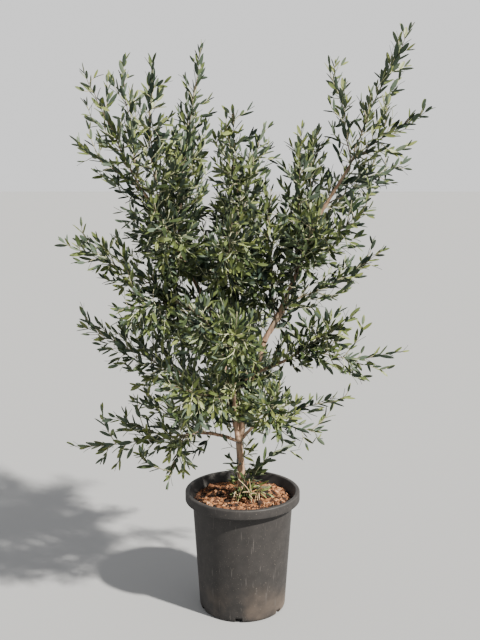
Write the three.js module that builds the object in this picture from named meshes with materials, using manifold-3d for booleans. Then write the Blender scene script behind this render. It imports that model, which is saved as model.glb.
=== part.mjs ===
// A young olive tree in a round nursery pot.
// Millimetres, +Z up. The origin is the middle of the pot's flat underside, and -Y is the front.
// The pot is turned on its axis, the limbs are swept along bent spines, and each mass of foliage
// is an uneven spindle that grows on from the end of its bough.
import * as THREE from 'three';
import { mergeVertices } from 'three/addons/utils/BufferGeometryUtils.js';
import Module from 'manifold-3d';

const wasm = await Module();
wasm.setup();

// ---------------------------------------------------------------- driving dimensions

const GAP = 0.4; // clear space kept between touching bodies

const POT = {
  height: 426,
  footRadius: 151.5,
  footRounding: 12,
  shoulderRadius: 176,
  rimRadius: 200,
  rimHeight: 33,
  rimRounding: 5,
  lipWidth: 15,
  wall: 3.2,
  floor: 5,
  sides: 36,
};
const LIP_EDGE = 1; // bevel on the rim's inner edge
const DRAIN = { count: 6, width: 33, height: 15, depth: 12, firstAt: 265 }; // slots in the foot of the wall
const SOIL = { belowRim: 30, edgeWidth: 50 };

const LIMB = { sides: 6, rings: 5 };
const FOLIAGE = { sides: 7, rings: 7, lobes: [2, 3, 4], uneven: 0.12, fullestAt: 0.38, blunt: 0.7, seed: 11 };

// Every limb and mass ends at a place given by its angle round the pot (0 = right, 90 = back, 180 = left,
// 270 = front), its reach out from the pot's axis and its height above the floor.
// lift raises the middle of the spine above the straight line, and a minus lets it sag.
const TRUNK = {
  azimuth: 180,
  reach: 12,
  height: 600,
  footAcross: 2,
  foot: 15,
  top: 12.5,
  flare: 9,
  flareRise: 40,
};

// The boughs that each limb bears. at is the fraction of the way up that limb where the bough leaves it,
// its end unless stated, and thick and thin are the bough's radii at its two ends.
const BOUGHS = {
  trunk: [
    { name: 'leader_left', azimuth: 168, reach: 100, height: 1030, thick: 10.5, thin: 8 },
    { name: 'leader_right', azimuth: 0, reach: 75, height: 960, lift: 15, thick: 11, thin: 9 },
    { name: 'leader_centre', azimuth: 102, reach: 110, height: 1330, lift: 10, thick: 10, thin: 6 },
    { name: 'bough_left_base', azimuth: 186, reach: 180, height: 635, lift: 12, thick: 6.5, thin: 5 },
    { name: 'bough_right_base', azimuth: 335, reach: 95, height: 710, lift: 5, thick: 6, thin: 4.5 },
  ],
  leader_left: [
    { name: 'leader_left_upper', azimuth: 181, reach: 330, height: 1465, lift: 10, thick: 8, thin: 5 },
    { name: 'bough_left_mid', azimuth: 180, reach: 290, height: 1145, lift: -20, thick: 6.5, thin: 5 },
    { name: 'bough_left_low', at: 0.3, azimuth: 175, reach: 230, height: 855, lift: -10, thick: 6.5, thin: 5 },
    { name: 'bough_front', at: 0.15, azimuth: 259, reach: 185, height: 980, lift: 20, thick: 7, thin: 5 },
  ],
  leader_right: [
    { name: 'leader_right_upper', azimuth: 5, reach: 250, height: 1370, lift: -25, thick: 9, thin: 6.5 },
    { name: 'bough_right_mid', azimuth: 4, reach: 155, height: 1085, lift: -5, thick: 6, thin: 4.5 },
    { name: 'bough_right_low', at: 0.65, azimuth: 0, reach: 225, height: 940, lift: -12, thick: 6, thin: 4.5 },
    { name: 'bough_back', at: 0.3, azimuth: 88, reach: 220, height: 950, lift: 20, thick: 7, thin: 5 },
  ],
  leader_right_upper: [
    { name: 'leader_right_top', azimuth: 6, reach: 360, height: 1545, thick: 6.5, thin: 5 },
  ],
};

// The masses that each limb bears. girth is a mass's greatest radius, and flat squashes it into a pad.
const MASSES = {
  leader_left_upper: [
    { name: 'left_plume_outer', azimuth: 201, reach: 525, height: 1845, lift: -15, girth: 58 },
    { name: 'left_plume_low', azimuth: 176, reach: 570, height: 1635, lift: -15, girth: 58, flat: 0.8 },
    { name: 'left_plume_tall', azimuth: 148, reach: 495, height: 1905, lift: -10, girth: 52 },
    { name: 'left_plume_inner', at: 0.7, azimuth: 222, reach: 360, height: 1880, girth: 78 },
    { name: 'left_spire', at: 0.5, azimuth: 156, reach: 150, height: 1935, girth: 74 },
    { name: 'left_plume_back', at: 0.6, azimuth: 114, reach: 470, height: 1730, lift: -20, girth: 95 },
    { name: 'left_heart', at: 0.3, azimuth: 220, reach: 370, height: 1435, girth: 100 },
    { name: 'left_shoulder', at: 0.5, azimuth: 150, reach: 505, height: 1395, lift: -10, girth: 80, flat: 0.9 },
  ],
  leader_centre: [
    { name: 'centre_front_spire', azimuth: 264, reach: 290, height: 1725, lift: -10, girth: 72 },
    { name: 'centre_spire', azimuth: 70, reach: 235, height: 1690, girth: 75 },
    { name: 'centre_front', at: 0.7, azimuth: 265, reach: 330, height: 1405, lift: -30, girth: 116 },
    { name: 'centre_back', azimuth: 95, reach: 520, height: 1325, lift: 20, girth: 95, flat: 0.8 },
    { name: 'back_left', at: 0.75, azimuth: 128, reach: 570, height: 1215, lift: 20, girth: 100, flat: 0.9 },
  ],
  leader_right_upper: [
    { name: 'right_tuft_front', at: 0.6, azimuth: 309, reach: 285, height: 1690, girth: 68 },
    { name: 'right_tuft_back', at: 0.8, azimuth: 41, reach: 345, height: 1680, girth: 65 },
    { name: 'right_shoulder', at: 0.75, azimuth: 328, reach: 475, height: 1435, lift: -20, girth: 66, flat: 0.8 },
    { name: 'right_heart', at: 0.2, azimuth: 285, reach: 260, height: 1500, girth: 85 },
    { name: 'right_upper_front', at: 0.6, azimuth: 308, reach: 350, height: 1400, lift: 10, girth: 74 },
    { name: 'right_upper_back', at: 0.7, azimuth: 56, reach: 510, height: 1325, lift: 20, girth: 78, flat: 0.8 },
  ],
  leader_right_top: [
    { name: 'right_plume_inner', azimuth: 39, reach: 410, height: 1905, girth: 44 },
    { name: 'right_plume_top', azimuth: 2, reach: 550, height: 2005, girth: 55 },
    { name: 'right_plume_outer', azimuth: 344, reach: 605, height: 1720, lift: 10, girth: 55 },
    { name: 'right_plume_low', at: 0.15, azimuth: 23, reach: 645, height: 1560, lift: 5, girth: 66 },
  ],
  bough_right_mid: [
    { name: 'right_spray_upper', azimuth: 5, reach: 490, height: 1270, lift: -20, girth: 60, flat: 0.8 },
  ],
  bough_right_low: [
    { name: 'right_spray_mid', at: 0.5, azimuth: 334, reach: 405, height: 1080, lift: 8, girth: 84 },
    { name: 'right_spray_long', azimuth: 6, reach: 565, height: 915, lift: -62, girth: 60, flat: 0.8 },
  ],
  bough_right_base: [
    { name: 'right_spray_low', azimuth: 339, reach: 335, height: 795, lift: -15, girth: 42, flat: 0.7 },
    { name: 'right_spray_base', azimuth: 8, reach: 305, height: 625, lift: -48, girth: 50, flat: 0.8 },
    { name: 'right_front_low', azimuth: 280, reach: 415, height: 860, girth: 92, flat: 0.9 },
  ],
  bough_left_mid: [
    { name: 'left_spray_upper', at: 0.8, azimuth: 184, reach: 605, height: 1300, lift: 25, girth: 76, flat: 0.9 },
    { name: 'left_spray_front', at: 0.4, azimuth: 213, reach: 480, height: 1100, lift: -5, girth: 98 },
  ],
  bough_left_low: [
    { name: 'left_spray_mid', at: 0.55, azimuth: 176, reach: 575, height: 1010, lift: 5, girth: 86 },
  ],
  bough_left_base: [
    { name: 'left_spray_back', at: 0.6, azimuth: 166, reach: 420, height: 725, lift: 15, girth: 72, flat: 0.8 },
    { name: 'left_spray_low_front', azimuth: 196, reach: 470, height: 740, lift: -42, girth: 56, flat: 0.8 },
    { name: 'left_spray_low', azimuth: 177, reach: 600, height: 575, lift: -36, girth: 54, flat: 0.8 },
    { name: 'left_spray_hanging', azimuth: 214, reach: 305, height: 485, lift: 15, girth: 54 },
  ],
  bough_front: [
    { name: 'front_left_low', at: 0.45, azimuth: 240, reach: 485, height: 920, lift: -55, girth: 104 },
    { name: 'front_left', azimuth: 245, reach: 440, height: 1165, lift: -12, girth: 104 },
    { name: 'front_middle', azimuth: 267, reach: 440, height: 1080, lift: -20, girth: 88 },
  ],
  bough_back: [
    { name: 'back_low', at: 0.3, azimuth: 105, reach: 495, height: 695, lift: 20, girth: 78, flat: 0.8 },
    { name: 'back_right_low', at: 0.5, azimuth: 75, reach: 445, height: 680, lift: 25, girth: 68, flat: 0.8 },
    { name: 'back_middle', azimuth: 89, reach: 520, height: 1010, girth: 95, flat: 0.9 },
    { name: 'back_left_low', azimuth: 125, reach: 525, height: 890, girth: 98, flat: 0.9 },
  ],
};

// ---------------------------------------------------------------- materials

const paint = (color, roughness) => new THREE.MeshStandardMaterial({ color, roughness, metalness: 0 });
const potPlastic = () => paint(0x3e3c3a, 0.6);
const barkChips = () => paint(0xb07a52, 0.95);
const bark = () => paint(0x7d6a5a, 0.9);
const leaves = () => paint(0x5f6b3a, 0.7);

// ---------------------------------------------------------------- solids

// The geometry with only its positions, and its shared vertices merged.
function welded(geometry) {
  const bare = geometry.clone();
  bare.deleteAttribute('normal');
  bare.deleteAttribute('uv');
  return mergeVertices(bare, 1e-3);
}

function solidOf(geometry) {
  const closed = welded(geometry);
  const vertProperties = new Float32Array(closed.attributes.position.array);
  const triVerts = new Uint32Array(closed.index.array);
  return new wasm.Manifold(new wasm.Mesh({ numProp: 3, vertProperties, triVerts }));
}

function geometryOf(solid) {
  const { vertProperties, triVerts } = solid.getMesh();
  const geometry = new THREE.BufferGeometry();
  geometry.setAttribute('position', new THREE.BufferAttribute(vertProperties, 3));
  geometry.setIndex(new THREE.BufferAttribute(triVerts, 1));
  return geometry;
}

// The same geometry with every vertex moved out by the gap, to cut its neighbours with.
function grown(geometry) {
  const larger = welded(geometry);
  larger.computeVertexNormals();
  const { position, normal } = larger.attributes;
  const point = new THREE.Vector3();
  const out = new THREE.Vector3();
  for (let i = 0; i < position.count; i++) {
    point.fromBufferAttribute(position, i).addScaledVector(out.fromBufferAttribute(normal, i), GAP);
    position.setXYZ(i, ...point);
  }
  return larger;
}

function largestPiece(solid) {
  return solid.decompose().reduce((best, piece) => (piece.volume() > best.volume() ? piece : best));
}

function meshOf(name, geometry, material) {
  const shape = geometry.index ? geometry.toNonIndexed() : geometry;
  shape.computeVertexNormals();
  const mesh = new THREE.Mesh(shape, material);
  mesh.name = name;
  return mesh;
}

// ---------------------------------------------------------------- pot and soil

// A profile of radius and height, turned about +Z.
function turned(profile) {
  return new THREE.LatheGeometry(profile, POT.sides).rotateX(Math.PI / 2);
}

// The radius inside the pot's wall at a height below the rim.
function innerRadiusAt(height) {
  const rise = POT.height - POT.rimHeight;
  return THREE.MathUtils.lerp(POT.footRadius, POT.shoulderRadius, height / rise) - POT.wall;
}

function quarterRound(path, radius, height, rounding, from) {
  path.absarc(radius, height, rounding, from, from + Math.PI / 2, false);
}

// Up the outside, over the hollow rolled rim and down the inside.
function potProfile() {
  const { height, footRadius, footRounding, shoulderRadius, rimRadius, rimHeight, rimRounding } = POT;
  const { lipWidth, wall, floor } = POT;
  const lip = rimRadius - lipWidth;
  const path = new THREE.Path();
  path.moveTo(0, 0);
  path.lineTo(footRadius - footRounding, 0);
  quarterRound(path, footRadius - footRounding, footRounding, footRounding, -Math.PI / 2);
  path.lineTo(shoulderRadius, height - rimHeight);
  path.lineTo(lip + wall, height - wall);
  path.lineTo(rimRadius - wall, height - wall);
  path.lineTo(rimRadius - wall, height - rimHeight);
  path.lineTo(rimRadius, height - rimHeight);
  path.lineTo(rimRadius, height - rimRounding);
  quarterRound(path, rimRadius - rimRounding, height - rimRounding, rimRounding, 0);
  path.lineTo(lip + LIP_EDGE, height);
  path.lineTo(lip, height - LIP_EDGE);
  path.lineTo(shoulderRadius - wall, height - rimHeight - wall);
  path.lineTo(innerRadiusAt(floor), floor);
  path.lineTo(0, floor);
  return path.getPoints(1);
}

// A box across the foot of the wall, half of it below the floor, that leaves one drain slot.
function drainCutter(index) {
  const cutter = new THREE.BoxGeometry(2 * DRAIN.depth, DRAIN.width, 2 * DRAIN.height);
  cutter.translate(POT.footRadius, 0, 0);
  cutter.rotateZ(THREE.MathUtils.degToRad(DRAIN.firstAt + (index * 360) / DRAIN.count));
  return solidOf(cutter);
}

function potGeometry() {
  let pot = solidOf(turned(potProfile()));
  for (let i = 0; i < DRAIN.count; i++) pot = pot.subtract(drainCutter(i));
  return geometryOf(pot);
}

const soilTop = POT.height - SOIL.belowRim;

function soilGeometry() {
  const bottom = POT.floor + GAP;
  const shoulder = POT.height - POT.rimHeight - POT.wall;
  const edge = innerRadiusAt(shoulder) - GAP;
  const profile = [
    new THREE.Vector2(0, bottom),
    new THREE.Vector2(innerRadiusAt(bottom) - GAP, bottom),
    new THREE.Vector2(edge, shoulder),
    new THREE.Vector2(edge - SOIL.edgeWidth, soilTop),
    new THREE.Vector2(0, soilTop),
  ];
  return turned(profile);
}

// ---------------------------------------------------------------- spines

function placeOf({ azimuth, reach, height }) {
  const angle = THREE.MathUtils.degToRad(azimuth);
  return new THREE.Vector3(reach * Math.cos(angle), reach * Math.sin(angle), height);
}

// A spine from start to the limb's or mass's own place, bent by its lift.
function spineTo(row, start) {
  const end = placeOf(row);
  const middle = start.clone().lerp(end, 0.5);
  middle.z += 2 * (row.lift ?? 0);
  return new THREE.QuadraticBezierCurve3(start, middle, end);
}

// Moves a round geometry that stands on +Y, from -0.5 to 0.5 or pole to pole, onto a spine.
// along gives a vertex's fraction of the spine, and radii its two half widths there.
function bendOnto(geometry, spine, along, radii) {
  const chord = spine.getPoint(1).sub(spine.getPoint(0));
  const level = new THREE.Vector3(0, 0, 1).cross(chord).normalize();
  const { position } = geometry.attributes;
  const vertex = new THREE.Vector3();
  for (let i = 0; i < position.count; i++) {
    vertex.fromBufferAttribute(position, i);
    const t = THREE.MathUtils.clamp(along(vertex), 0, 1);
    const forward = spine.getTangent(t);
    const across = level.clone().addScaledVector(forward, -level.dot(forward)).normalize();
    const up = new THREE.Vector3().crossVectors(across, forward);
    const onSpine = Math.hypot(vertex.x, vertex.z) < 1e-6;
    const angle = Math.atan2(vertex.z, vertex.x);
    const [wide, tall] = onSpine ? [0, 0] : radii(t, angle);
    const spot = spine.getPoint(t);
    spot.addScaledVector(across, wide * Math.cos(angle));
    spot.addScaledVector(up, tall * Math.sin(angle));
    position.setXYZ(i, ...spot);
  }
  return geometry;
}

// ---------------------------------------------------------------- trunk, boughs and foliage

function limbGeometry(spine, radiusAt, rings) {
  const tube = new THREE.CylinderGeometry(1, 1, 1, LIMB.sides, rings);
  return bendOnto(tube, spine, (vertex) => vertex.y + 0.5, (t) => [radiusAt(t), radiusAt(t)]);
}

// The trunk tapers to its fork and flares at the root, where it is cut flat at the soil.
function trunkGeometry(spine) {
  const rise = TRUNK.height - soilTop;
  const flareAt = (t) => TRUNK.flare * Math.exp((-t * rise) / TRUNK.flareRise);
  const radiusAt = (t) => THREE.MathUtils.lerp(TRUNK.foot, TRUNK.top, t) + flareAt(t);
  const trunk = limbGeometry(spine, radiusAt, 2 * LIMB.rings);
  const { position } = trunk.attributes;
  const foot = soilTop + GAP;
  for (let i = 0; i < position.count; i++) position.setZ(i, Math.max(foot, position.getZ(i)));
  return trunk;
}

function seeded(seed) {
  let state = seed;
  return () => {
    state = (Math.imul(state, 1664525) + 1013904223) >>> 0;
    return state / 2 ** 32;
  };
}

// A few slow waves round and along a mass make its surface uneven.
function unevenness(seed) {
  const random = seeded(seed);
  const waves = FOLIAGE.lobes.map((lobes) => {
    const turn = random() * 2 * Math.PI;
    const shift = random() * 2 * Math.PI;
    return (t, angle) => Math.sin(lobes * angle + turn) * Math.cos((lobes + 1) * Math.PI * t + shift);
  });
  return (t, angle) => 1 + FOLIAGE.uneven * waves.reduce((sum, wave) => sum + wave(t, angle), 0);
}

function massGeometry(row, spine, seed) {
  const ball = new THREE.SphereGeometry(1, FOLIAGE.sides, FOLIAGE.rings);
  const skew = Math.log(0.5) / Math.log(FOLIAGE.fullestAt); // puts the greatest girth at fullestAt
  const swell = unevenness(seed);
  const radii = (t, angle) => {
    const girth = row.girth * Math.sin(Math.PI * t ** skew) ** FOLIAGE.blunt * swell(t, angle);
    return [girth, girth * (row.flat ?? 1)];
  };
  const along = (vertex) => 1 - Math.acos(THREE.MathUtils.clamp(vertex.y, -1, 1)) / Math.PI;
  return bendOnto(ball, spine, along, radii);
}

// ---------------------------------------------------------------- the tree

const tree = new THREE.Group();
const spines = {};
const cutters = [];

// Cuts a new limb or mass round everything that already stands, and adds it to the tree.
function grow(name, geometry, material) {
  const cutter = solidOf(grown(geometry));
  const solid = cutters.reduce((rest, standing) => rest.subtract(standing), solidOf(geometry));
  cutters.push(cutter);
  tree.add(meshOf(name, geometryOf(largestPiece(solid)), material));
}

// Calls build for every row of a table, with the spine that leaves its limb for the row's own place.
function eachOn(table, build) {
  for (const [limb, rows] of Object.entries(table)) {
    for (const row of rows) build(row, spineTo(row, spines[limb].getPoint(row.at ?? 1)));
  }
}

function buildBough(row, spine) {
  spines[row.name] = spine;
  const radiusAt = (t) => THREE.MathUtils.lerp(row.thick, row.thin, t);
  grow(row.name, limbGeometry(spine, radiusAt, LIMB.rings), bark());
}

let seed = FOLIAGE.seed;

function buildMass(row, spine) {
  grow(`foliage_${row.name}`, massGeometry(row, spine, seed), leaves());
  seed += 1;
}

tree.add(meshOf('pot', potGeometry(), potPlastic()));
tree.add(meshOf('soil', soilGeometry(), barkChips()));
spines.trunk = spineTo(TRUNK, new THREE.Vector3(TRUNK.footAcross, 0, soilTop + GAP));
grow('trunk', trunkGeometry(spines.trunk), bark());
eachOn(BOUGHS, buildBough);
eachOn(MASSES, buildMass);

export default tree;
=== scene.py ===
"""The looks of a young olive tree in a nursery pot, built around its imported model.

Metres, +Z up, -Y the front. The limbs and the masses of foliage are read from the frame. The limbs give
the lines that the bark follows, and each mass gives the room that its shoots and their leaves grow into.
"""
import math
from collections import namedtuple

import bpy
import numpy as np
from mathutils import Matrix, Vector, noise
from mathutils.bvhtree import BVHTree


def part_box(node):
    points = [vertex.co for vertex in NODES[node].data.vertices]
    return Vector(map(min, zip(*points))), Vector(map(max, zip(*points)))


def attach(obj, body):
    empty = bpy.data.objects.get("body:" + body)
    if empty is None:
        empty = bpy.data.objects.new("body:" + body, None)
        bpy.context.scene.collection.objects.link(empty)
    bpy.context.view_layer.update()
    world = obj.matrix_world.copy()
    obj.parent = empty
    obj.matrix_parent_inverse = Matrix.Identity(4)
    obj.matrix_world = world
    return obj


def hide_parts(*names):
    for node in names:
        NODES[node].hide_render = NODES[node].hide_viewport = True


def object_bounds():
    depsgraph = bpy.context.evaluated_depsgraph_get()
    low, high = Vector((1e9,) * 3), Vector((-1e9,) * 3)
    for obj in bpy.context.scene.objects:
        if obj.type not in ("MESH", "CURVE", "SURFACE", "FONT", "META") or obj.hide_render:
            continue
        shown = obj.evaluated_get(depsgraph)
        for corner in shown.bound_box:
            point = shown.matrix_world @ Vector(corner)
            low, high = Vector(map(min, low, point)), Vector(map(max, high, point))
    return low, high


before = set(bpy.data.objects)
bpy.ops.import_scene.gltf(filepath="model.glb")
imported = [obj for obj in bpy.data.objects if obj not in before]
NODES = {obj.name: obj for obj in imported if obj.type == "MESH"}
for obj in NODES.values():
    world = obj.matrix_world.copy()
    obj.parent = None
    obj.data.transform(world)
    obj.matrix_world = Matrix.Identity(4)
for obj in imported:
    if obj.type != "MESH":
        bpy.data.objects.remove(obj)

CAD_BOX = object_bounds()
UP = np.array([0.0, 0.0, 1.0])
SEED = 20

# ------------------------------------------------ the camera and the light

CAMERA_PLACE = (-0.009, -3.08, 1.608)
CAMERA_PITCH = math.radians(10.67)  # down from level
CAMERA_LENS = 52.2
KEY_FROM = (0.70, -0.52, 0.82)  # the way to the light: high on the right, in front
KEY_STRENGTH = 16.5
KEY_SOFTNESS = math.radians(2.5)
KEY_TONE = (1.0, 0.96, 0.88)
SURROUND = 1.1  # the strength of the white all round
FLOOR_HALF = 30
FLOOR_TONE = (0.215, 0.218, 0.222)

# -------------------------------------------------------- sizes of the pot

RIM_RADIUS = 0.200
RIM_HEIGHT = 0.033
RIM_ROUNDING = 0.005
RIM_EDGE = 0.003  # the rounding of the rim's lower edge and of its inner one
LIP_WIDTH = 0.015
SHOULDER_RADIUS = 0.176
FLARE = (-0.0012, 0.001)  # off the shoulder's radius, where the wall starts to widen and at the rim
FLARE_HEIGHT = 0.004
FOOT_RADIUS = 0.1515
FOOT_ROUNDING = 0.012
POT_WALL = 0.0032
POT_FLOOR = 0.005
INNER_TAPER = 0.010  # how far under the rim the inside starts to narrow
INNER_CORNER = 0.006  # the slope between the inside of the wall and the floor
AXIS_GAP = 0.0005  # how near its axis the pot's outline starts and ends
POT_SIDES = 144
POT_STEP = 0.012  # the longest stretch between two rings
POT_CREASE = math.radians(40)
DRAIN_COUNT = 6
DRAIN_FIRST = math.radians(265)
DRAIN_HEIGHT = 0.015
DRAIN_CUT = 0.02  # how far a cut for a drain slot reaches in and out from the foot's edge
DRAIN_HALF_ANGLES = (0.09, 0.07)  # at its inner and its outer end

# ---------------------------------------- sizes of the soil and its litter

SOIL_SHOWN = 0.04  # the depth of soil that is built
SOIL_FALL = 0.007  # from the trunk to the wall
SOIL_UNEVEN = 0.004
SOIL_FINENESS = 30
SOIL_GRAIN = 0.0012
SOIL_SKIRT = 0.97  # the width at the bottom, as a share of the width at the top
SOIL_RINGS = 40
SOIL_TURNS = 96
CHIP_COUNT = 2600
CHIP_LENGTH = (0.005, 0.026)
CHIP_SHORTNESS = 1.8  # over 1, short chips outnumber long ones
CHIP_WIDTH = (0.35, 0.7)  # as a share of the length
CHIP_THICKNESS = (0.18, 0.45)
CHIP_RAGGEDNESS = 0.22  # how far each corner strays, as a share of half a side
CHIP_TILT = 0.7
CHIP_RISE = (0.0, 0.005)
CHIP_WALL_GAP = 0.003
CHIP_CORNERS = [(x, y, z) for x in (-1, 1) for y in (-1, 1) for z in (-1, 1)]
BOX_FACES = [(0, 1, 3, 2), (4, 6, 7, 5), (0, 4, 5, 1), (2, 3, 7, 6), (0, 2, 6, 4), (1, 5, 7, 3)]
STRAW_COUNT = 13
STRAW_LENGTH = (0.06, 0.13)
STRAW_FOOT_ANGLES = (230, 330)
STRAW_FOOT_REACH = (0.025, 0.075)  # from the pot's axis
STRAW_SUNK = 0.004
STRAW_ANGLES = (200, 350)
STRAW_REACH = (0.15, 0.8)  # outwards, as a share of the length
STRAW_RISE = (0.2, 0.9)  # upwards, likewise
STRAW_BEND = (0.1, 0.5)  # how far out and up the middle of its curve lies, as shares of the length
STRAW_RADIUS = (0.0014, 0.0008)
STRAW_SIDES = 6

# ------------------------------------------------------- sizes of the bark

LIMB_CUT_EVERY = 0.025  # between the cuts across a limb's solid that find its middle
LIMB_CUT_SPAN = (0.02, 0.98)  # where the first and the last cut lie, as shares of the length
LIMB_CUTS_LEAST = 6
LIMB_POINT_EVERY = 0.01  # between the points that a mass's shoots can start from
BARK_SIDES = 18
BARK_STEP = 0.006
BARK_RELIEF = 0.07  # as a share of the radius
RIDGE_FINENESS = np.array([190.0, 190.0, 26.0])
KNOT_FINENESS = 45.0
COLLAR = (0.30, 0.02)  # how much thicker a bough is where it starts, and how soon that is gone

# ----------------------------------------------------- sizes of the shoots

STEP = 0.012  # between the points of a shoot
CURVE_LENGTH = 1.1  # of a bent shoot, as a share of the straight way
MAIN_RADIUS = (0.0034, 0.0009)  # of a mass's main shoot, at its foot and its tip
MAIN_SLIGHTNESS = (0.35, 1.3)  # the foot's share of that at no length, and what each metre adds to it
MAIN_SWAY = 0.0015
MAIN_BARE = 0.2  # the share of its length that bears no leaf
TIP_MARGIN = 0.026  # how far short of its mass's tip a main shoot stops, for its leaves to reach it
SHOOT_RADIUS = (0.0020, 0.0011)
SHOOT_STOUTNESS = 0.006  # what each metre of its length adds to a side shoot's foot
SHOOT_BARE = 0.010
SHOOT_PULL = 1.3  # of its goal on a side shoot as it leaves, against its parent's heading
SHOOT_STRAY = (0.12, 0.15)  # from its headings at its foot and its tip
SHOOT_HANDLES = (0.38, 0.36)  # how far its curve keeps to those headings, as shares of its length
UPTURN_HANDLES = (0.4, 0.3)  # the same for whips and twiglets
SHOOT_LIFT = 0.55  # how strongly a side shoot turns up at its tip
SLANT_LEAST = 0.75  # the cosine of the widest slant that costs a side shoot nothing
SLANT_COST = 2.5  # how much further a goal counts as, for each 1 that the cosine is under that
TAKEN_COST = 0.02  # of leaving close to where another shoot left, in metres of way
TAKEN_REACH = 1.5 * STEP
GOAL_SPACING = (0.0335, 0.055)  # between the tips of side shoots, in the crown's heart and at its far tips
GOAL_DEPTH = (-0.010, 0.016)  # how deep under the skin of its mass a shoot may end at the least
GOAL_TRIES = 16  # for each cube of the closest spacing
CROWN_HEART = np.array([0.0, 0.0, 1.15])
CROWN_REACH = 0.85
ORDERS = 3  # the highest order of branching in a mass
WHIP_EVERY = 0.11
WHIP_FIRST = (1.0, 1.6)  # the way to a main shoot's first whip, as a share of WHIP_EVERY
WHIP_GAPS = (0.7, 1.3)  # between whips, likewise
WHIP_LAST = 0.03  # how close to a main shoot's tip a whip can stand
WHIP_LENGTH = (0.08, 0.15)
WHIP_RISE = 0.16  # how far whips may end above the tip of a level main shoot
WHIP_LIFT = (0.9, 0.3)  # how strongly a whip turns up as it leaves, and again over its length
WHIP_STRAY = 0.45
WHIP_BARE = 0.02
# The four points of the sucker's curve: the angle round the pot, the reach from its axis and the height.
SUCKER_CURVE = ((0, 0.012, 0.405), (310, 0.08, 0.55), (328, 0.14, 0.63), (332, 0.205, 0.585))
SUCKER_BARE = 0.05
SUCKER_TONE = 2
SPROUT_COUNT = 27
SPROUT_LENGTH = (0.04, 0.11)
SPROUT_REACH = 0.8  # outwards, as a share of its length
SPROUT_RISE = (0.05, 0.75)  # upwards, likewise
SPROUT_BEND = (0.5, 0.25)  # how far out and up the middle of its curve lies, as shares of its length
SPROUT_ANGLES = (205, 350)  # all round the front of the trunk
SPROUT_CROWDING = 1.7  # over 1, sprouts stand closer together towards the soil
SPROUT_BARE = 0.015
SPROUT_TONES = (1, 4)  # from the first up to but not the second
TWIGLET_EVERY = 0.017
TWIGLET_LENGTH = (0.04, 0.115)
TWIGLET_RADIUS = (0.0015, 0.0009)
TWIGLET_LEAN = (0.5, 0.5)  # how far it leans along its limb and upwards, for 1 outwards
TWIGLET_BARE = 0.008
TWIGLET_TONES = (0, 4)
LATE_ORDER = 2  # of the shoots that stand on old wood
TWIG_SIDES = 5

# ----------------------------------------------------- sizes of the leaves

INTERNODE = 0.0265
INTERNODE_GAPS = (0.8, 1.2)  # between pairs of leaves, as shares of INTERNODE
FIRST_PAIR = (0.2, 1.0)  # the way to a shoot's first pair past its bare length, in internodes
AT_TIP = 0.5  # how far from a shoot's tip its last pair stands at the most, in internodes
NEAR_TIP = 2.2  # pairs closer to the tip are smaller and paler, in internodes
PAIR_STRAY = 0.18  # round the shoot, in radians
LEAF_LENGTH = (0.043, 0.061)
LEAF_SLENDER = (0.235, 0.305)  # width over length
# The blade's half width at shares of its length, from its short stalk to its rounded tip.
LEAF_STATIONS = ((0.0, 0.07), (0.08, 0.30), (0.26, 0.86), (0.52, 1.0), (0.77, 0.82), (0.93, 0.42))
LEAF_LEAN = (15, 40)  # from its shoot, in degrees
TIP_LEAF_LEAN = (8, 20)
NEAR_TIP_LEAF = 0.82  # the size of the last leaves but one, and of the last, as a share of the others'
TIP_LEAF = 0.66
LEAF_SKYWARD = 0.6  # how strongly upper sides turn to the sky
LEAF_TWIST = 0.55  # how far blades turn about their own length, as a tangent
# Heights across the blade, as shares of its half width.
EDGE_RISE = 0.16
MIDDLE_RISE = 0.02
MIDRIB_DEPTH = -0.05
LEAF_DROOP = (-0.02, 0.16)
LEAF_CREASE = math.radians(50)
LEAF_PIECES = 4
SHADED_HEART_TONE = 0.75  # the mean tone of the sprays in the crown's heart, as a place in LEAF_TONES; low, for older leaves darkened with painted shade
TONE_RISE = 2.35  # from there to the far tips, where the painted shade lifts and the leaves are younger
TONE_STRAY = 0.75


# ----------------------------------------------------------------- vectors

def unit(v):
    return v / (np.linalg.norm(v) + 1e-12)


def across(direction):
    """Two unit vectors square to a direction and to each other."""
    helper = UP if abs(direction[2]) < 0.9 else np.array([1.0, 0.0, 0.0])
    side = unit(np.cross(direction, helper))
    return side, np.cross(direction, side)


def arc_lengths(points):
    return np.concatenate(([0.0], np.cumsum(np.linalg.norm(np.diff(points, axis=0), axis=1))))


def resampled(points, radii, step):
    """The same line with a point every step."""
    along = arc_lengths(points)
    wanted = np.linspace(0.0, along[-1], max(3, int(along[-1] / step) + 1))
    columns = [np.interp(wanted, along, points[:, axis]) for axis in range(3)]
    return np.stack(columns, axis=1), np.interp(wanted, along, radii)


def directions(points):
    return np.array([unit(v) for v in np.gradient(points, axis=0)])


# ------------------------------------------------------------- mesh pieces

def new_piece(name, vertices, faces, materials, face_materials=None, slot=None):
    """A mesh object, which rides on the plant if it has a slot. face_materials gives each face's place in
    materials."""
    mesh = bpy.data.meshes.new(name)
    mesh.from_pydata(np.asarray(vertices).tolist(), [], [list(face) for face in faces])
    for material in materials:
        mesh.materials.append(material)
    if face_materials is not None:
        mesh.polygons.foreach_set("material_index", np.asarray(face_materials, np.int32))
    mesh.polygons.foreach_set("use_smooth", np.ones(len(mesh.polygons), bool))
    mesh.update()
    piece = bpy.data.objects.new(name, mesh)
    bpy.context.scene.collection.objects.link(piece)
    if slot:
        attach(piece, "root")
    return piece


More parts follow.
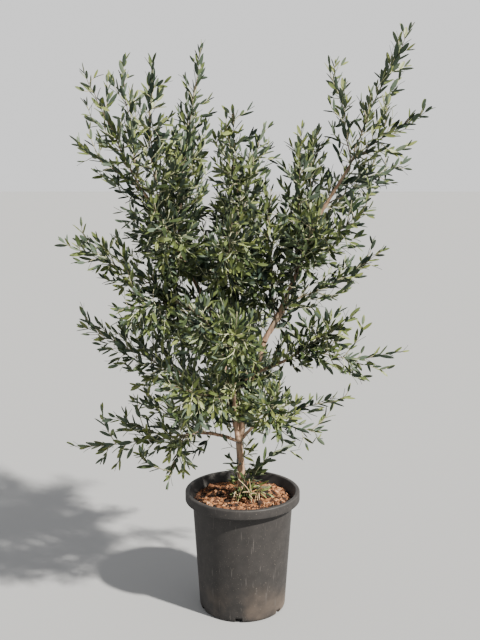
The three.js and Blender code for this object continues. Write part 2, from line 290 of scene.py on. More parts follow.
class MeshParts:
    """Gathers many small meshes into one list of vertices and faces."""

    def __init__(self):
        self.vertices = []
        self.faces = []
        self.tones = []
        self.count = 0

    def add(self, vertices, faces, tone=0):
        self.vertices.append(np.asarray(vertices))
        self.faces.extend([tuple(index + self.count for index in face) for face in faces])
        self.tones.extend([tone] * len(faces))
        self.count += len(vertices)

    def piece(self, name, materials, slot):
        return new_piece(name, np.concatenate(self.vertices), self.faces, materials, self.tones, slot)


def ring_faces(rings, sides):
    """The faces between one ring and the next, for rings with the same number of sides."""
    faces = []
    for ring in range(rings - 1):
        for turn in range(sides):
            a = ring * sides + turn
            b = ring * sides + (turn + 1) % sides
            faces.append((a, b, b + sides, a + sides))
    return faces


def tube(points, radii, sides, relief=None):
    """Rings round a line, closed at both ends. relief(point) gives the share of the radius there."""
    headings = directions(points)
    side, _ = across(headings[0])
    vertices = []
    for point, radius, heading in zip(points, radii, headings):
        side = unit(side - heading * np.dot(side, heading))
        other = np.cross(heading, side)
        for turn in range(sides):
            angle = 2 * math.pi * turn / sides
            outward = math.cos(angle) * side + math.sin(angle) * other
            share = relief(point + outward * radius) if relief else 1.0
            vertices.append(point + outward * radius * share)
    faces = ring_faces(len(points), sides)
    last = (len(points) - 1) * sides
    faces.append(tuple(range(sides - 1, -1, -1)))
    faces.append(tuple(range(last, last + sides)))
    return vertices, faces


# --------------------------------------------------------------- materials

def new_material(name):
    material = bpy.data.materials.new(name)
    material.use_nodes = True
    return material, material.node_tree, material.node_tree.nodes["Principled BSDF"]


def plain(name, colour, roughness, specular):
    material, _, shader = new_material(name)
    shader.inputs["Base Color"].default_value = (*colour, 1.0)
    shader.inputs["Roughness"].default_value = roughness
    shader.inputs["Specular IOR Level"].default_value = specular
    return material


def noise_node(tree, scale, detail, stretch=(1.0, 1.0, 1.0)):
    """Noise over the piece's own coordinates, as a value from 0 to 1."""
    place = tree.nodes.new("ShaderNodeTexCoord")
    mapping = tree.nodes.new("ShaderNodeMapping")
    mapping.inputs["Scale"].default_value = stretch
    texture = tree.nodes.new("ShaderNodeTexNoise")
    texture.inputs["Scale"].default_value = scale
    texture.inputs["Detail"].default_value = detail
    tree.links.new(place.outputs["Object"], mapping.inputs["Vector"])
    tree.links.new(mapping.outputs["Vector"], texture.inputs["Vector"])
    return texture.outputs["Fac"]


def ramp(tree, value, stops):
    """Colours dealt along a value; stops are (place, colour)."""
    node = tree.nodes.new("ShaderNodeValToRGB")
    elements = node.color_ramp.elements
    while len(elements) < len(stops):
        elements.new(0.5)
    for element, (place, colour) in zip(elements, stops):
        element.position = place
        element.color = (*colour, 1.0)
    tree.links.new(value, node.inputs["Fac"])
    return node.outputs["Color"]


def mixed(tree, share, first, second):
    """The colour of a socket, first, with a plain colour mixed into it by a value."""
    node = tree.nodes.new("ShaderNodeMix")
    node.data_type = "RGBA"
    tree.links.new(share, node.inputs["Factor"])
    tree.links.new(first, node.inputs["A"])
    node.inputs["B"].default_value = (*second, 1.0)
    return node.outputs["Result"]


def height_share(tree, low, high):
    """1 at a height of low metres and under, falling to 0 at high."""
    place = tree.nodes.new("ShaderNodeTexCoord")
    split = tree.nodes.new("ShaderNodeSeparateXYZ")
    spread = tree.nodes.new("ShaderNodeMapRange")
    spread.inputs["From Min"].default_value = low
    spread.inputs["From Max"].default_value = high
    spread.inputs["To Min"].default_value = 1.0
    spread.inputs["To Max"].default_value = 0.0
    tree.links.new(place.outputs["Object"], split.inputs["Vector"])
    tree.links.new(split.outputs["Z"], spread.inputs["Value"])
    return spread.outputs["Result"]


def times(tree, first, second):
    node = tree.nodes.new("ShaderNodeMath")
    node.operation = "MULTIPLY"
    tree.links.new(first, node.inputs[0])
    tree.links.new(second, node.inputs[1])
    return node.outputs["Value"]


def bumped(tree, shader, height, strength, distance):
    bump = tree.nodes.new("ShaderNodeBump")
    bump.inputs["Strength"].default_value = strength
    bump.inputs["Distance"].default_value = distance
    tree.links.new(height, bump.inputs["Height"])
    tree.links.new(bump.outputs["Normal"], shader.inputs["Normal"])


def mask(tree, value, low, high, most=1.0):
    """0 where a value is under low, rising to most where it is over high."""
    return ramp(tree, value, ((low, (0.0, 0.0, 0.0)), (high, (most, most, most))))


# Colours of the bark from its cracks to its ridges, and of its lichen.
BARK_TONES = ((0.30, (0.040, 0.028, 0.020)), (0.48, (0.195, 0.117, 0.071)), (0.66, (0.37, 0.235, 0.150)))
LICHEN_TONE = (0.19, 0.17, 0.125)


def bark_material():
    material, tree, shader = new_material("bark")
    streaks = noise_node(tree, 60, 6, (1.0, 1.0, 0.16))
    patches = noise_node(tree, 14, 3)
    wood = ramp(tree, streaks, BARK_TONES)
    lichen = mask(tree, patches, 0.50, 0.68, 0.5)
    tree.links.new(mixed(tree, lichen, wood, LICHEN_TONE), shader.inputs["Base Color"])
    shader.inputs["Roughness"].default_value = 0.85
    bumped(tree, shader, streaks, 0.5, 0.001)
    return material


PLASTIC_TONES = ((0.30, (0.0118, 0.0104, 0.0098)), (0.72, (0.0195, 0.0172, 0.0162)))
DUST_TONE = (0.080, 0.059, 0.044)
DUST_TOP = 0.15  # how far up the wall dust lies
SCRATCH_TONE = (0.066, 0.060, 0.056)
SPECK_TONE = (0.12, 0.104, 0.085)


def pot_material():
    material, tree, shader = new_material("pot")
    grain = noise_node(tree, 35, 5)
    plastic = ramp(tree, grain, PLASTIC_TONES)
    blotches = mask(tree, noise_node(tree, 9, 6), 0.44, 0.74)
    low = height_share(tree, 0.0, DUST_TOP)
    dusty = mixed(tree, times(tree, blotches, low), plastic, DUST_TONE)
    scratches = mask(tree, noise_node(tree, 130, 2, (1.0, 1.0, 0.10)), 0.66, 0.74, 0.55)
    scratched = mixed(tree, scratches, dusty, SCRATCH_TONE)
    specks = mask(tree, noise_node(tree, 300, 1), 0.71, 0.77, 0.8)
    tree.links.new(mixed(tree, specks, scratched, SPECK_TONE), shader.inputs["Base Color"])
    shader.inputs["Roughness"].default_value = 0.66
    shader.inputs["Specular IOR Level"].default_value = 0.38
    bumped(tree, shader, grain, 0.15, 0.0006)
    return material


EARTH_TONES = ((0.32, (0.006, 0.004, 0.003)), (0.52, (0.021, 0.011, 0.007)), (0.70, (0.085, 0.040, 0.022)))


def soil_material():
    material, tree, shader = new_material("soil")
    crumbs = noise_node(tree, 70, 5)
    earth = ramp(tree, crumbs, EARTH_TONES)
    tree.links.new(earth, shader.inputs["Base Color"])
    shader.inputs["Roughness"].default_value = 0.92
    bumped(tree, shader, crumbs, 0.7, 0.002)
    return material


# Colours of the chips and the share of each.
CHIP_TONES = ((0.20, 0.088, 0.038), (0.105, 0.044, 0.021), (0.036, 0.016, 0.009), (0.33, 0.17, 0.085),
              (0.012, 0.007, 0.005))
CHIP_SHARES = (0.24, 0.26, 0.24, 0.08, 0.18)
STRAW_TONE = (0.50, 0.37, 0.22)


def chip_materials():
    return [plain(f"chip_{index}", tone, 0.88, 0.2) for index, tone in enumerate(CHIP_TONES)]


# Leaf colours from the dark ones inside, older leaves darkened further with painted shade, to the yellow
# young ones at the tips.
LEAF_TONES = ((0.004, 0.010, 0.006), (0.011, 0.021, 0.010), (0.031, 0.046, 0.016), (0.068, 0.089, 0.026),
              (0.121, 0.143, 0.042))
# Their undersides, one for every two of those, so they carry the same painted shade.
UNDER_TONES = ((0.025, 0.038, 0.028), (0.049, 0.068, 0.047), (0.083, 0.107, 0.070))
# Wood by its order of branching, from the oldest to the youngest.
TWIG_TONES = ((0.095, 0.070, 0.045), (0.25, 0.23, 0.145), (0.34, 0.34, 0.21), (0.36, 0.38, 0.23))


def foliage_materials():
    tops = [plain(f"leaf_{index}", tone, 0.46, 0.24) for index, tone in enumerate(LEAF_TONES)]
    unders = [plain(f"leaf_under_{index}", tone, 0.70, 0.15) for index, tone in enumerate(UNDER_TONES)]
    return tops + unders


# ---------------------------------------------------------- the frame read

def vertices_of(node):
    flat = np.empty(len(node.data.vertices) * 3)
    node.data.vertices.foreach_get("co", flat)
    return flat.reshape(-1, 3)


def limb_line(node, origin):
    """Points along a limb's middle from the end nearest to origin, and its radius at each."""
    corners = vertices_of(node)
    edges = np.empty(len(node.data.edges) * 2, np.int32)
    node.data.edges.foreach_get("vertices", edges)
    edges = edges.reshape(-1, 2)
    axis = np.linalg.svd(corners - corners.mean(0), full_matrices=False)[2][0]
    along = corners @ axis
    if np.linalg.norm(corners[along.argmax()] - origin) < np.linalg.norm(corners[along.argmin()] - origin):
        axis, along = -axis, -along
    first, last = along[edges[:, 0]], along[edges[:, 1]]
    span = along.max() - along.min()
    count = max(LIMB_CUTS_LEAST, int(span / LIMB_CUT_EVERY))
    levels = along.min() + span * np.linspace(*LIMB_CUT_SPAN, count)
    points, radii = [], []
    for level in levels:
        cut = (first - level) * (last - level) < 0
        share = ((level - first[cut]) / (last[cut] - first[cut]))[:, None]
        crossed = corners[edges[cut, 0]] * (1 - share) + corners[edges[cut, 1]] * share
        middle = (crossed.min(0) + crossed.max(0)) / 2
        points.append(middle)
        radii.append(np.linalg.norm(crossed - middle, axis=1).mean())
    return np.array(points), np.array(radii)


def read_limbs():
    """Each limb's line by name, begun on the limb that bears it, and the place of the trunk's fork."""
    trunk = limb_line(NODES["trunk"], np.array([0.0, 0.0, 0.0]))
    fork = trunk[0][-1]
    limbs = {"trunk": trunk}
    for name in NODES:
        if name.startswith(("leader_", "bough_")):
            limbs[name] = limb_line(NODES[name], fork)
    joined = {"trunk": trunk}
    for name, (points, radii) in limbs.items():
        if name == "trunk":
            continue
        others = np.concatenate([line for other, (line, _) in limbs.items() if other != name])
        bearer = others[np.linalg.norm(others - points[0], axis=1).argmin()]
        joined[name] = (np.vstack([bearer, points]), np.concatenate([radii[:1], radii]))
    return joined, fork


LIMBS, FORK = read_limbs()
LIMB_POINTS = np.concatenate([resampled(*line, LIMB_POINT_EVERY)[0] for line in LIMBS.values()])


# -------------------------------------------------------------- the shoots

class Shoot:
    """A line of young wood: its order of branching, its leaves' tone, and how far up it bears no leaf."""

    def __init__(self, points, order, tone, radii, bare):
        self.points = points
        self.order = order
        self.tone = tone
        self.radii = radii
        self.bare = bare


class Mass:
    """One mass of foliage as room for shoots to grow into."""

    def __init__(self, name):
        self.corners = vertices_of(NODES[name])
        faces = [tuple(face.vertices) for face in NODES[name].data.polygons]
        self.tree = BVHTree.FromPolygons([Vector(corner) for corner in self.corners], faces)
        self.tip = self.corners[np.linalg.norm(self.corners - FORK, axis=1).argmax()]
        inner = self.corners[np.linalg.norm(self.corners - self.tip, axis=1).argmax()]
        self.foot = LIMB_POINTS[np.linalg.norm(LIMB_POINTS - inner, axis=1).argmin()]

    def depth(self, point):
        """How far a point lies inside the mass's skin, less than 0 outside it."""
        place = Vector(point)
        near, normal, _, distance = self.tree.find_nearest(place)
        return distance if (place - near).dot(normal) < 0 else -distance

    def goals(self, rng):
        """Places for the tips of side shoots, evenly strewn, the nearest to the mass's foot first."""
        low, high = self.corners.min(0), self.corners.max(0)
        close, wide = GOAL_SPACING
        tries = int(GOAL_TRIES * np.prod(high - low) / close ** 3)
        goals = np.empty((0, 3))
        for goal in rng.uniform(low, high, (tries, 3)):
            apart = close + (wide - close) * outness(goal) ** 2
            if len(goals) and np.linalg.norm(goals - goal, axis=1).min() < apart:
                continue
            if self.depth(goal) > rng.uniform(*GOAL_DEPTH):
                goals = np.vstack([goals, goal])
        return goals[np.linalg.norm(goals - self.foot, axis=1).argsort()]


def outness(point):
    """0 in the crown's heart and 1 at its far tips."""
    return min(1.0, np.linalg.norm(point - CROWN_HEART) / CROWN_REACH)


def spray_tone_and_shade(end, rng):
    """The tone of a spray's leaves but for its tips, which go one lighter: dark in the crown's heart, for
    older leaves and painted shade, and lighter further out."""
    # painted shade: the nearer the crown's heart, the darker the tone
    tone = SHADED_HEART_TONE + TONE_RISE * outness(end) + rng.normal(0, TONE_STRAY)
    return int(np.clip(round(tone), 0, len(LEAF_TONES) - 2))


def bezier(start, first, second, end):
    """A curve that leaves towards first and comes in from second, with a point about every STEP."""
    count = max(4, int(CURVE_LENGTH * np.linalg.norm(end - start) / STEP) + 2)
    share = np.linspace(0, 1, count)[:, None]
    rest = 1 - share
    bends = 3 * rest ** 2 * share * first + 3 * rest * share ** 2 * second
    return rest ** 3 * start + bends + share ** 3 * end


def main_shoot(mass, rng):
    """A mass's own shoot, from the nearest limb through the middle of the mass to short of its tip."""
    bend = 2 * mass.corners.mean(0) - (mass.foot + mass.tip) / 2
    line = bezier(mass.foot, (mass.foot + 2 * bend) / 3, (mass.tip + 2 * bend) / 3, mass.tip)
    along = arc_lengths(line)
    line = line[along < along[-1] - TIP_MARGIN]
    sway = rng.normal(0, MAIN_SWAY, line.shape).cumsum(0)
    line = line + sway - np.linspace(0, 1, len(line))[:, None] * sway[-1]
    thick = min(1.0, MAIN_SLIGHTNESS[0] + MAIN_SLIGHTNESS[1] * along[-1])
    radii = np.linspace(MAIN_RADIUS[0] * thick, MAIN_RADIUS[1], len(line))
    return Shoot(line, 0, spray_tone_and_shade(mass.tip, rng), radii, bare=MAIN_BARE * along[-1])


class Fork:
    """All the points along a mass's shoots that a new one can leave from."""

    def __init__(self):
        self.places = np.empty((0, 3))
        self.headings = np.empty((0, 3))
        self.taken = np.empty(0)  # what it costs to leave from each point
        self.owners = []

    def add(self, shoot):
        inner = slice(1, len(shoot.points) - 1)
        self.places = np.vstack([self.places, shoot.points[inner]])
        self.headings = np.vstack([self.headings, directions(shoot.points)[inner]])
        self.taken = np.concatenate([self.taken, np.zeros(len(shoot.points) - 2)])
        self.owners.extend((shoot, index + 1) for index in range(len(shoot.points) - 2))

    def best_for(self, goal):
        """The point that reaches a goal by a short way at no wide slant, now taken."""
        ahead = goal - self.places
        distance = np.linalg.norm(ahead, axis=1)
        slant = (ahead * self.headings).sum(1) / (distance + 1e-9)
        cost = distance * (1 + SLANT_COST * np.maximum(SLANT_LEAST - slant, 0)) + self.taken
        best = int(cost.argmin())
        self.taken[np.linalg.norm(self.places - self.places[best], axis=1) < TAKEN_REACH] += TAKEN_COST
        return self.places[best], self.headings[best], self.owners[best]


def side_shoot(goal, fork, rng):
    """A shoot to a goal from wherever the older ones reach it best, which turns upwards as it goes."""
    start, heading, (parent, index) = fork.best_for(goal)
    reach = goal - start
    length = np.linalg.norm(reach)
    leave = unit(heading + SHOOT_PULL * unit(reach) + rng.normal(0, SHOOT_STRAY[0], 3))
    arrive = unit(unit(reach) + SHOOT_LIFT * UP + rng.normal(0, SHOOT_STRAY[1], 3))
    after = start + SHOOT_HANDLES[0] * length * leave
    before = goal - SHOOT_HANDLES[1] * length * arrive
    line = bezier(start, after, before, goal)
    thick = min(SHOOT_RADIUS[0] + SHOOT_STOUTNESS * length, parent.radii[index])
    radii = np.linspace(thick, SHOOT_RADIUS[1], len(line))
    return Shoot(line, parent.order + 1, spray_tone_and_shade(goal, rng), radii, bare=SHOOT_BARE)


def upturned(start, outward, end, length):
    """A shoot's line that leaves outwards and ends upright, with a length of about the way between."""
    after = start + UPTURN_HANDLES[0] * length * outward
    before = end - UPTURN_HANDLES[1] * length * UP
    return bezier(start, after, before, end)


def proud_whips(main, rng):
    """Upturned whips from a main shoot, which break its mass's smooth line, but not a steep one's top.

    Each ends a leaf's length or more inside the CAD box.
    """
    along = arc_lengths(main.points)
    heading = directions(main.points)
    levelness = 1 - unit(main.points[-1] - main.points[0])[2]
    low, high = np.array(CAD_BOX[0]) + LEAF_LENGTH[1], np.array(CAD_BOX[1]) - LEAF_LENGTH[1]
    high[2] = min(high[2], main.points[-1][2] + WHIP_RISE * levelness)
    whips = []
    spot = WHIP_EVERY * rng.uniform(*WHIP_FIRST)
    while spot < along[-1] - WHIP_LAST:
        index = int(np.searchsorted(along, spot))
        rise = unit(heading[index] + WHIP_LIFT[0] * UP + rng.normal(0, WHIP_STRAY, 3))
        length = rng.uniform(*WHIP_LENGTH)
        start = main.points[index]
        end = start + length * unit(rise + WHIP_LIFT[1] * UP)
        if (end > low).all() and (end < high).all():
            line = upturned(start, rise, end, length)
            radii = np.linspace(*SHOOT_RADIUS, len(line))
            whips.append(Shoot(line, 1, spray_tone_and_shade(end, rng), radii, bare=WHIP_BARE))
        spot += WHIP_EVERY * rng.uniform(*WHIP_GAPS)
    return whips


def shoots_of(name, rng):
    """Every shoot of a mass: its main one, the whips that stand proud, and those that fill its room."""
    mass = Mass(name)
    main = main_shoot(mass, rng)
    shoots = [main] + proud_whips(main, rng)
    fork = Fork()
    fork.add(main)
    for goal in mass.goals(rng):
        shoot = side_shoot(goal, fork, rng)
        shoots.append(shoot)
        if shoot.order < ORDERS:
            fork.add(shoot)
    return shoots


def turned_out(azimuth, reach, height):
    """The point at an angle round the pot in degrees (0 right, 270 front), at a reach from its axis."""
    angle = math.radians(azimuth)
    return np.array([reach * math.cos(angle), reach * math.sin(angle), height])


def trunk_sprouts(rng):
    """Leafy sprouts low on the trunk, and one long sucker that arches to the right."""
    line, _ = LIMBS["trunk"]
    sucker = bezier(*(turned_out(*point) for point in SUCKER_CURVE))
    radii = np.linspace(*SHOOT_RADIUS, len(sucker))
    sprouts = [Shoot(sucker, LATE_ORDER, SUCKER_TONE, radii, bare=SUCKER_BARE)]
    for number in range(SPROUT_COUNT):
        share = (number / SPROUT_COUNT) ** SPROUT_CROWDING
        start = line[int(share * (len(line) - 1))]
        outward = turned_out(rng.uniform(*SPROUT_ANGLES), 1.0, 0.0)
        length = rng.uniform(*SPROUT_LENGTH)
        middle = start + length * (SPROUT_BEND[0] * outward + SPROUT_BEND[1] * UP)
        end = start + length * (SPROUT_REACH * outward + rng.uniform(*SPROUT_RISE) * UP)
        shoot = bezier(start, middle, middle, end)
        radii = np.linspace(*TWIGLET_RADIUS, len(shoot))
        tone = int(rng.integers(*SPROUT_TONES))
        sprouts.append(Shoot(shoot, LATE_ORDER, tone, radii, bare=SPROUT_BARE))
    return sprouts


def limb_twiglets(rng):
    """Short leafy twigs along the leaders and boughs, all round them."""
    twiglets = []
    for name, limb in LIMBS.items():
        if name == "trunk":
            continue
        line, _ = resampled(*limb, TWIGLET_EVERY)
        for start, heading in zip(line[2:], directions(line)[2:]):
            side, other = across(heading)
            angle = rng.uniform(0, 2 * math.pi)
            outward = math.cos(angle) * side + math.sin(angle) * other
            length = rng.uniform(*TWIGLET_LENGTH)
            reach = length * unit(outward + TWIGLET_LEAN[0] * heading + TWIGLET_LEAN[1] * UP)
            twig = upturned(start, outward, start + reach, length)
            radii = np.linspace(*TWIGLET_RADIUS, len(twig))
            tone = int(rng.integers(*TWIGLET_TONES))
            twiglets.append(Shoot(twig, LATE_ORDER, tone, radii, bare=TWIGLET_BARE))
    return twiglets


# -------------------------------------------------------------- the leaves

Leaf = namedtuple("Leaf", "foot along normal length width tone")


def new_leaf(foot, heading, outward, lean_span, size, tone, rng):
    """A leaf that leans outwards from its shoot's heading, turned a little about its own length."""
    lean = math.radians(rng.uniform(*lean_span))
    length = size * rng.uniform(*LEAF_LENGTH)
    along = math.cos(lean) * heading + math.sin(lean) * outward
    normal = math.sin(lean) * heading - math.cos(lean) * outward + LEAF_SKYWARD * UP
    normal = normal + rng.normal(0, LEAF_TWIST) * np.cross(along, normal)
    return Leaf(foot, along, normal, length, length * rng.uniform(*LEAF_SLENDER), tone)


def leaves_on(shoot, rng):
    """The pairs of leaves along a shoot."""
    along = arc_lengths(shoot.points)
    heading = directions(shoot.points)
    leaves = []
    turn = rng.uniform(0, 2 * math.pi)
    place = shoot.bare + rng.uniform(*FIRST_PAIR) * INTERNODE
    while place < along[-1] + INTERNODE:
        at_tip = place >= along[-1] - AT_TIP * INTERNODE
        near_tip = place > along[-1] - NEAR_TIP * INTERNODE
        spot = min(place, along[-1])
        index = int(np.searchsorted(along, spot))
        foot = np.array([np.interp(spot, along, shoot.points[:, axis]) for axis in range(3)])
        lean_span = TIP_LEAF_LEAN if at_tip else LEAF_LEAN
        size = TIP_LEAF if at_tip else NEAR_TIP_LEAF if near_tip else 1.0
        tone = shoot.tone + (1 if near_tip else 0)
        side, other = across(heading[index])
        for half in (0, math.pi):
            angle = turn + half + rng.normal(0, PAIR_STRAY)
            outward = math.cos(angle) * side + math.sin(angle) * other
            leaves.append(new_leaf(foot, heading[index], outward, lean_span, size, tone, rng))
        if at_tip:
            break
        turn += math.pi / 2
        place += INTERNODE * rng.uniform(*INTERNODE_GAPS)
    return leaves


def leaf_shape():
    """One leaf's corners as (along, across, up) with its two sets of faces, the upper and the under."""
    corners = []
    for place, width in LEAF_STATIONS:
        corners += [(place, -width, EDGE_RISE), (place, 0.0, MIDDLE_RISE), (place, width, EDGE_RISE)]
        corners.append((place, 0.0, MIDRIB_DEPTH))
    corners.append((1.0, 0.0, 0.0))
    tip = len(corners) - 1
    upper, under = [], [(3, 2, 1, 0)]
    for station in range(len(LEAF_STATIONS) - 1):
        a = 4 * station
        b = a + 4
        upper.extend([(a, a + 1, b + 1, b), (a + 1, a + 2, b + 2, b + 1)])
        under.extend([(a + 3, a, b, b + 3), (a + 2, a + 3, b + 3, b + 2)])
    last = 4 * (len(LEAF_STATIONS) - 1)
    upper.extend([(last, last + 1, tip), (last + 1, last + 2, tip)])
    under.extend([(last + 3, last, tip), (last + 2, last + 3, tip)])
    return np.array(corners), upper, under


def face_tones(leaves, upper, under):
    """Each face's place in the list of materials, leaf by leaf: its upper faces and then its under ones."""
    tones = []
    for leaf in leaves:
        below = len(LEAF_TONES) + leaf.tone // 2
        tones.extend([leaf.tone] * len(upper) + [below] * len(under))
    return tones


def leaf_points(leaves, corners, rng):
    """Every leaf's corners in their places, with each leaf drooping by a share of its own."""
    feet = np.array([leaf.foot for leaf in leaves])
    along = np.array([leaf.along for leaf in leaves])
    normal = np.array([leaf.normal for leaf in leaves])
    lengths = np.array([leaf.length for leaf in leaves])
    halves = np.array([leaf.width for leaf in leaves]) / 2
    normal -= along * (normal * along).sum(1)[:, None]
    normal /= np.linalg.norm(normal, axis=1)[:, None] + 1e-9
    across_leaf = np.cross(along, normal)
    droop = rng.uniform(*LEAF_DROOP, len(leaves))
    place, width, rise = corners.T
    forward = lengths[:, None] * place[None]
    sideways = halves[:, None] * width[None]
    upward = halves[:, None] * rise[None] - (droop * lengths)[:, None] * (place ** 2)[None]
    points = feet[:, None] + forward[..., None] * along[:, None]
    points += sideways[..., None] * across_leaf[:, None] + upward[..., None] * normal[:, None]
    return points.reshape(-1, 3)


def leaf_piece(name, leaves, materials, rng):
    """Many leaves as one mesh."""
    corners, upper, under = leaf_shape()
    points = leaf_points(leaves, corners, rng)
    firsts = range(0, len(points), len(corners))
    faces = [tuple(first + corner for corner in face) for first in firsts for face in upper + under]
    piece = new_piece(name, points, faces, materials, face_tones(leaves, upper, under), "foliage")
    piece.data.set_sharp_from_angle(angle=LEAF_CREASE)
    return piece


def build_leaves(shoots, masses, rng):
    """All the leaves in a few pieces; the masses are hidden once the first is built."""
    materials = foliage_materials()
    leaves = [leaves_on(shoot, rng) for shoot in shoots]
    share = math.ceil(len(shoots) / LEAF_PIECES)
    for number in range(LEAF_PIECES):
        gathered = sum(leaves[number * share:(number + 1) * share], [])
        piece = leaf_piece(f"leaves_{number}", gathered, materials, rng)
        if number == 0:
            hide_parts(*masses)


def build_twigs(shoots):
    twigs = MeshParts()
    for shoot in shoots:
        points, radii = resampled(shoot.points, shoot.radii, STEP)
        vertices, faces = tube(points, radii, TWIG_SIDES)
        twigs.add(vertices, faces, shoot.order)
    tones = [plain(f"twig_{index}", tone, 0.6, 0.3) for index, tone in enumerate(TWIG_TONES)]
    twigs.piece("twigs", tones, "foliage")


def build_foliage():
    rng = np.random.default_rng(SEED)
    masses = sorted(name for name in NODES if name.startswith("foliage_"))
    shoots = sum([shoots_of(name, rng) for name in masses], [])
    shoots += trunk_sprouts(rng) + limb_twiglets(rng)
    build_leaves(shoots, masses, rng)
    build_twigs(shoots)


# ---------------------------------------------------------------- the bark

def bark_relief(point):
    """Long ridges and knots, as a share of the radius."""
    ridges = noise.noise(Vector(point * RIDGE_FINENESS))
    knots = noise.noise(Vector(point * KNOT_FINENESS))
    return 1.0 + BARK_RELIEF * (ridges + knots)


def build_bark():
    bark = MeshParts()
    for name, (points, radii) in LIMBS.items():
        points, radii = resampled(points, radii, BARK_STEP)
        along = arc_lengths(points)
        if name != "trunk":
            radii = radii * (1 + COLLAR[0] * np.exp(-along / COLLAR[1]))
        vertices, faces = tube(points, radii, BARK_SIDES, bark_relief)
        bark.add(vertices, faces)
    piece = bark.piece("bark", [bark_material()], "bark")
    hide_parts(*LIMBS)


# ----------------------------------------------------------------- the pot

def arc_points(centre, radius, first, last, count):
    """Points along an arc between two angles in degrees."""
    across_axis, up = centre
    angles = np.linspace(math.radians(first), math.radians(last), count)
    return [(across_axis + radius * math.cos(angle), up + radius * math.sin(angle)) for angle in angles]


def pot_outline(height):
    """Radius and height round the pot's section, from under the middle, up outside and down inside."""
    under_rim = height - RIM_HEIGHT
    outline = [(AXIS_GAP, 0.0)]
    outline += arc_points((FOOT_RADIUS - FOOT_ROUNDING, FOOT_ROUNDING), FOOT_ROUNDING, -90, -4, 7)
    outline += [(SHOULDER_RADIUS + FLARE[0], under_rim - FLARE_HEIGHT)]
    outline += [(SHOULDER_RADIUS + FLARE[1], under_rim)]
    outline += arc_points((RIM_RADIUS - RIM_EDGE, under_rim + RIM_EDGE), RIM_EDGE, -90, 0, 4)
    outline += arc_points((RIM_RADIUS - RIM_ROUNDING, height - RIM_ROUNDING), RIM_ROUNDING, 0, 90, 6)
    outline += arc_points((RIM_RADIUS - LIP_WIDTH + RIM_EDGE, height - RIM_EDGE), RIM_EDGE, 90, 180, 4)
    outline += [(SHOULDER_RADIUS - POT_WALL, under_rim - INNER_TAPER)]
    inner_foot = FOOT_RADIUS - POT_WALL
    outline += [(inner_foot, POT_FLOOR + INNER_CORNER), (inner_foot - INNER_CORNER, POT_FLOOR)]
    outline += [(AXIS_GAP, POT_FLOOR)]
    return refined(outline, POT_STEP)


def refined(outline, longest):
    """The same outline with no stretch over a longest one."""
    points = [outline[0]]
    for start, end in zip(outline, outline[1:]):
        count = max(1, math.ceil(math.dist(start, end) / longest))
        for step in range(1, count + 1):
            share = step / count
            points.append((start[0] + (end[0] - start[0]) * share, start[1] + (end[1] - start[1]) * share))
    return points


def build_pot():
    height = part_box("pot")[1].z
    outline = pot_outline(height)
    vertices = []
    for radius, level in outline:
        for turn in range(POT_SIDES):
            angle = 2 * math.pi * turn / POT_SIDES
            vertices.append((radius * math.cos(angle), radius * math.sin(angle), level))
    faces = ring_faces(len(outline), POT_SIDES)
    pot = new_piece("pot_body", vertices, faces, [pot_material()], slot="pot")
    pot.data.set_sharp_from_angle(angle=POT_CREASE)
    cut_drains(pot)
    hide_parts("pot")


def cut_drains(pot):
    """Slots through the foot of the wall."""
    cutters = MeshParts()
    for number in range(DRAIN_COUNT):
        middle = DRAIN_FIRST + number * 2 * math.pi / DRAIN_COUNT
        corners = []
        for level in (-DRAIN_HEIGHT, DRAIN_HEIGHT):
            for side, half in zip((-1, 1), DRAIN_HALF_ANGLES):
                radius = FOOT_RADIUS + side * DRAIN_CUT
                for sign in (-1, 1):
                    angle = middle + sign * half
                    corners.append((radius * math.cos(angle), radius * math.sin(angle), level))
        cutters.add(corners, BOX_FACES)
    cutter = new_piece("drain_cutter", np.concatenate(cutters.vertices), cutters.faces, [])
    modifier = pot.modifiers.new("drains", "BOOLEAN")
    modifier.operation = "DIFFERENCE"
    modifier.object = cutter
    bpy.context.view_layer.update()
    evaluated = pot.evaluated_get(bpy.context.evaluated_depsgraph_get())
    mesh = bpy.data.meshes.new_from_object(evaluated)
    pot.modifiers.clear()
    pot.data = mesh
    bpy.data.objects.remove(cutter)


# ---------------------------------------------------------------- the soil

def soil_height(x, y, top):
    spread = min(1.0, math.hypot(x, y) / SHOULDER_RADIUS)
    waves = noise.noise(Vector((x * SOIL_FINENESS, y * SOIL_FINENESS, 0.0)))
    return top - SOIL_FALL * spread ** 2 + SOIL_UNEVEN * waves


def soil_bed(rng, outer, top):
    """The uneven top of the soil with a skirt just inside the pot's wall, closed below."""
    turns = SOIL_TURNS
    vertices = [(0.0, 0.0, soil_height(0, 0, top))]
    for ring in range(1, SOIL_RINGS + 1):
        radius = outer * ring / SOIL_RINGS
        for turn in range(turns):
            x, y, _ = turned_out(360 * turn / turns, radius, 0.0)
            vertices.append((x, y, soil_height(x, y, top) + rng.normal(0, SOIL_GRAIN)))
    faces = [(0, 1 + turn, 1 + (turn + 1) % turns) for turn in range(turns)]
    for ring in range(SOIL_RINGS - 1):
        for turn in range(turns):
            a = 1 + ring * turns + turn
            b = 1 + ring * turns + (turn + 1) % turns
            faces.append((a, a + turns, b + turns, b))
    edge = 1 + (SOIL_RINGS - 1) * turns
    base = len(vertices)
    for x, y, z in vertices[edge:edge + turns]:
        vertices.append((SOIL_SKIRT * x, SOIL_SKIRT * y, z - SOIL_SHOWN))
    for turn in range(turns):
        follow = (turn + 1) % turns
        faces.append((edge + turn, base + turn, base + follow, edge + follow))
    faces.append(tuple(base + turn for turn in range(turns - 1, -1, -1)))
    return vertices, faces


def build_soil(rng):
    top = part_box("soil")[1].z
    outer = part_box("soil")[1].x
    soil = new_piece("soil_bed", *soil_bed(rng, outer, top), [soil_material()], slot="soil")
    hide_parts("soil")
    build_chips(rng, outer, top)
    build_straws(rng, top)


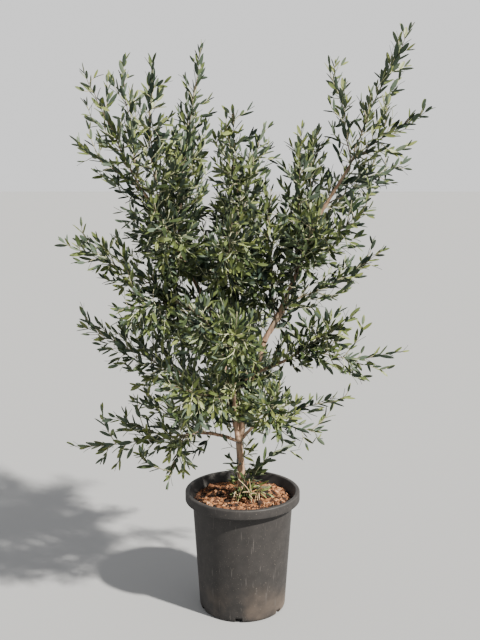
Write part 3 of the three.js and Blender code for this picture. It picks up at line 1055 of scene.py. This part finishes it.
def chip(rng, length):
    """A split lump of bark: a rough box with every corner moved."""
    size = np.array([length, length * rng.uniform(*CHIP_WIDTH), length * rng.uniform(*CHIP_THICKNESS)])
    corners = np.array(CHIP_CORNERS) + rng.normal(0, CHIP_RAGGEDNESS, (len(CHIP_CORNERS), 3))
    return corners * size / 2


def rotation(rng, tilt):
    """A turn about the upright by any angle after a tilt of up to that many radians."""
    turn = rng.uniform(0, 2 * math.pi)
    roll, pitch = rng.uniform(-tilt, tilt, 2)
    turned = Matrix.Rotation(turn, 3, "Z") @ Matrix.Rotation(roll, 3, "X") @ Matrix.Rotation(pitch, 3, "Y")
    return np.array(turned)


def build_straws(rng, top):
    """Dry stems of old growth round the front of the trunk's foot."""
    straws = MeshParts()
    for _ in range(STRAW_COUNT):
        foot_angle = rng.uniform(*STRAW_FOOT_ANGLES)
        start = turned_out(foot_angle, rng.uniform(*STRAW_FOOT_REACH), top - STRAW_SUNK)
        outward = turned_out(rng.uniform(*STRAW_ANGLES), 1.0, 0.0)
        length = rng.uniform(*STRAW_LENGTH)
        end = start + length * (rng.uniform(*STRAW_REACH) * outward + rng.uniform(*STRAW_RISE) * UP)
        middle = start + length * (STRAW_BEND[0] * outward + STRAW_BEND[1] * UP)
        line = bezier(start, middle, middle, end)
        vertices, faces = tube(line, np.linspace(*STRAW_RADIUS, len(line)), STRAW_SIDES)
        straws.add(vertices, faces)
    straws.piece("dry_stems", [plain("dry_stem", STRAW_TONE, 0.7, 0.2)], "bark")


def build_chips(rng, outer, top):
    chips = MeshParts()
    for _ in range(CHIP_COUNT):
        length = CHIP_LENGTH[0] + (CHIP_LENGTH[1] - CHIP_LENGTH[0]) * rng.random() ** CHIP_SHORTNESS
        radius = (outer - length / 2 - CHIP_WALL_GAP) * math.sqrt(rng.random())
        angle = rng.uniform(0, 2 * math.pi)
        x, y = radius * math.cos(angle), radius * math.sin(angle)
        place = np.array([x, y, soil_height(x, y, top) + rng.uniform(*CHIP_RISE)])
        corners = chip(rng, length) @ rotation(rng, CHIP_TILT).T + place
        chips.add(corners, BOX_FACES, int(rng.choice(len(CHIP_TONES), p=CHIP_SHARES)))
    piece = chips.piece("soil_chips", chip_materials(), "soil")
    piece.data.polygons.foreach_set("use_smooth", np.zeros(len(piece.data.polygons), bool))


# --------------------------------------------------------------- the stage

def far_light(name, towards, strength, softness, colour):
    """A light from far off, shining from the side given, its disc softness radians wide."""
    light = bpy.data.lights.new(name, "SUN")
    light.energy = strength
    light.angle = softness
    light.color = colour
    lamp = bpy.data.objects.new(name, light)
    lamp.rotation_euler = Vector(towards).to_track_quat("Z", "Y").to_euler()
    bpy.context.scene.collection.objects.link(lamp)


def build_stage():
    corners = [(x * FLOOR_HALF, y * FLOOR_HALF, 0) for x, y in ((-1, -1), (1, -1), (1, 1), (-1, 1))]
    floor = new_piece("floor", corners, [(0, 1, 2, 3)], [plain("floor_pale", FLOOR_TONE, 0.9, 0.1)])
    world = bpy.data.worlds.new("studio")
    world.use_nodes = True
    world.node_tree.nodes["Background"].inputs["Color"].default_value = (1.0, 1.0, 1.0, 1.0)
    world.node_tree.nodes["Background"].inputs["Strength"].default_value = SURROUND
    bpy.context.scene.world = world
    far_light("key", KEY_FROM, KEY_STRENGTH, KEY_SOFTNESS, KEY_TONE)
    camera = bpy.data.objects.new("camera", bpy.data.cameras.new("camera"))
    camera.location = CAMERA_PLACE
    camera.rotation_euler = (math.pi / 2 - CAMERA_PITCH, 0.0, 0.0)
    camera.data.lens = CAMERA_LENS
    bpy.context.scene.collection.objects.link(camera)
    bpy.context.scene.camera = camera


build_pot()
build_soil(np.random.default_rng(SEED + 1))
build_bark()
build_foliage()
build_stage()
